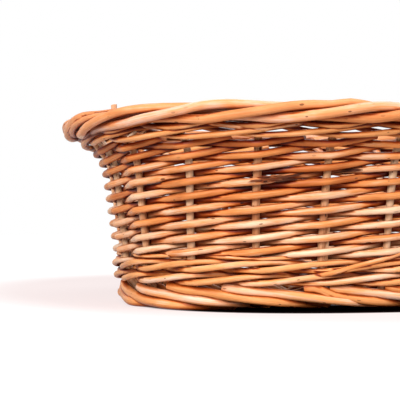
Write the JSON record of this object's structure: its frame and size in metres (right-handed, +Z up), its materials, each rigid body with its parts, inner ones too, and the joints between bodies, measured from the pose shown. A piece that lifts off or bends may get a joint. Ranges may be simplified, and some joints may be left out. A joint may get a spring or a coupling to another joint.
{
  "type": "dog basket",
  "caption": "Low oval dog basket of woven buff willow, open at the top, with slanted siding, a rolled rope-like border on a wide brim and a foot of thick rods.",
  "frame": {"origin": "on the floor under the middle of the basket", "axes": "+X along the basket's length, +Y across it to the back, +Z up"},
  "size_m": [0.5028, 0.4072, 0.1742],
  "materials": {
    "base_willow": "satin",
    "wale_willow": "satin",
    "stake_willow": "satin",
    "siding_willow": "satin",
    "foot_willow": "satin"
  },
  "bodies": {
    "root": {"base_stick_cross_1": "base_willow", "base_stick_cross_2": "base_willow", "base_stick_cross_3": "base_willow", "base_stick_cross_4": "base_willow", "base_stick_cross_5": "base_willow", "base_stick_cross_6": "base_willow", "base_stick_cross_7": "base_willow", "base_stick_long_1": "base_willow", "base_stick_long_2": "base_willow", "base_stick_long_3": "base_willow", "base_weaver_1": "base_willow", "base_weaver_2": "base_willow", "bottom_wale_1": "wale_willow", "bottom_wale_2": "wale_willow", "bottom_wale_3": "wale_willow", "top_wale_1": "wale_willow", "top_wale_2": "wale_willow", "top_wale_3": "wale_willow", "stake_01": "stake_willow", "stake_02": "stake_willow", "stake_03": "stake_willow", "stake_04": "stake_willow", "stake_05": "stake_willow", "stake_06": "stake_willow", "stake_07": "stake_willow", "stake_08": "stake_willow", "stake_09": "stake_willow", "stake_10": "stake_willow", "stake_11": "stake_willow", "stake_12": "stake_willow", "stake_13": "stake_willow", "stake_14": "stake_willow", "stake_15": "stake_willow", "stake_16": "stake_willow", "stake_17": "stake_willow", "stake_18": "stake_willow", "stake_19": "stake_willow", "stake_20": "stake_willow", "siding_rod_01": "siding_willow", "siding_rod_02": "siding_willow", "siding_rod_03": "siding_willow", "siding_rod_04": "siding_willow", "siding_rod_05": "siding_willow", "siding_rod_06": "siding_willow", "siding_rod_07": "siding_willow", "siding_rod_08": "siding_willow", "siding_rod_09": "siding_willow", "siding_rod_10": "siding_willow", "siding_rod_11": "siding_willow", "siding_rod_12": "siding_willow", "siding_rod_13": "siding_willow", "siding_rod_14": "siding_willow", "siding_rod_15": "siding_willow", "siding_rod_16": "siding_willow", "siding_rod_17": "siding_willow", "siding_rod_18": "siding_willow", "siding_rod_19": "siding_willow", "siding_rod_20": "siding_willow", "foot_border": "foot_willow"}
  },
  "joints": []
}
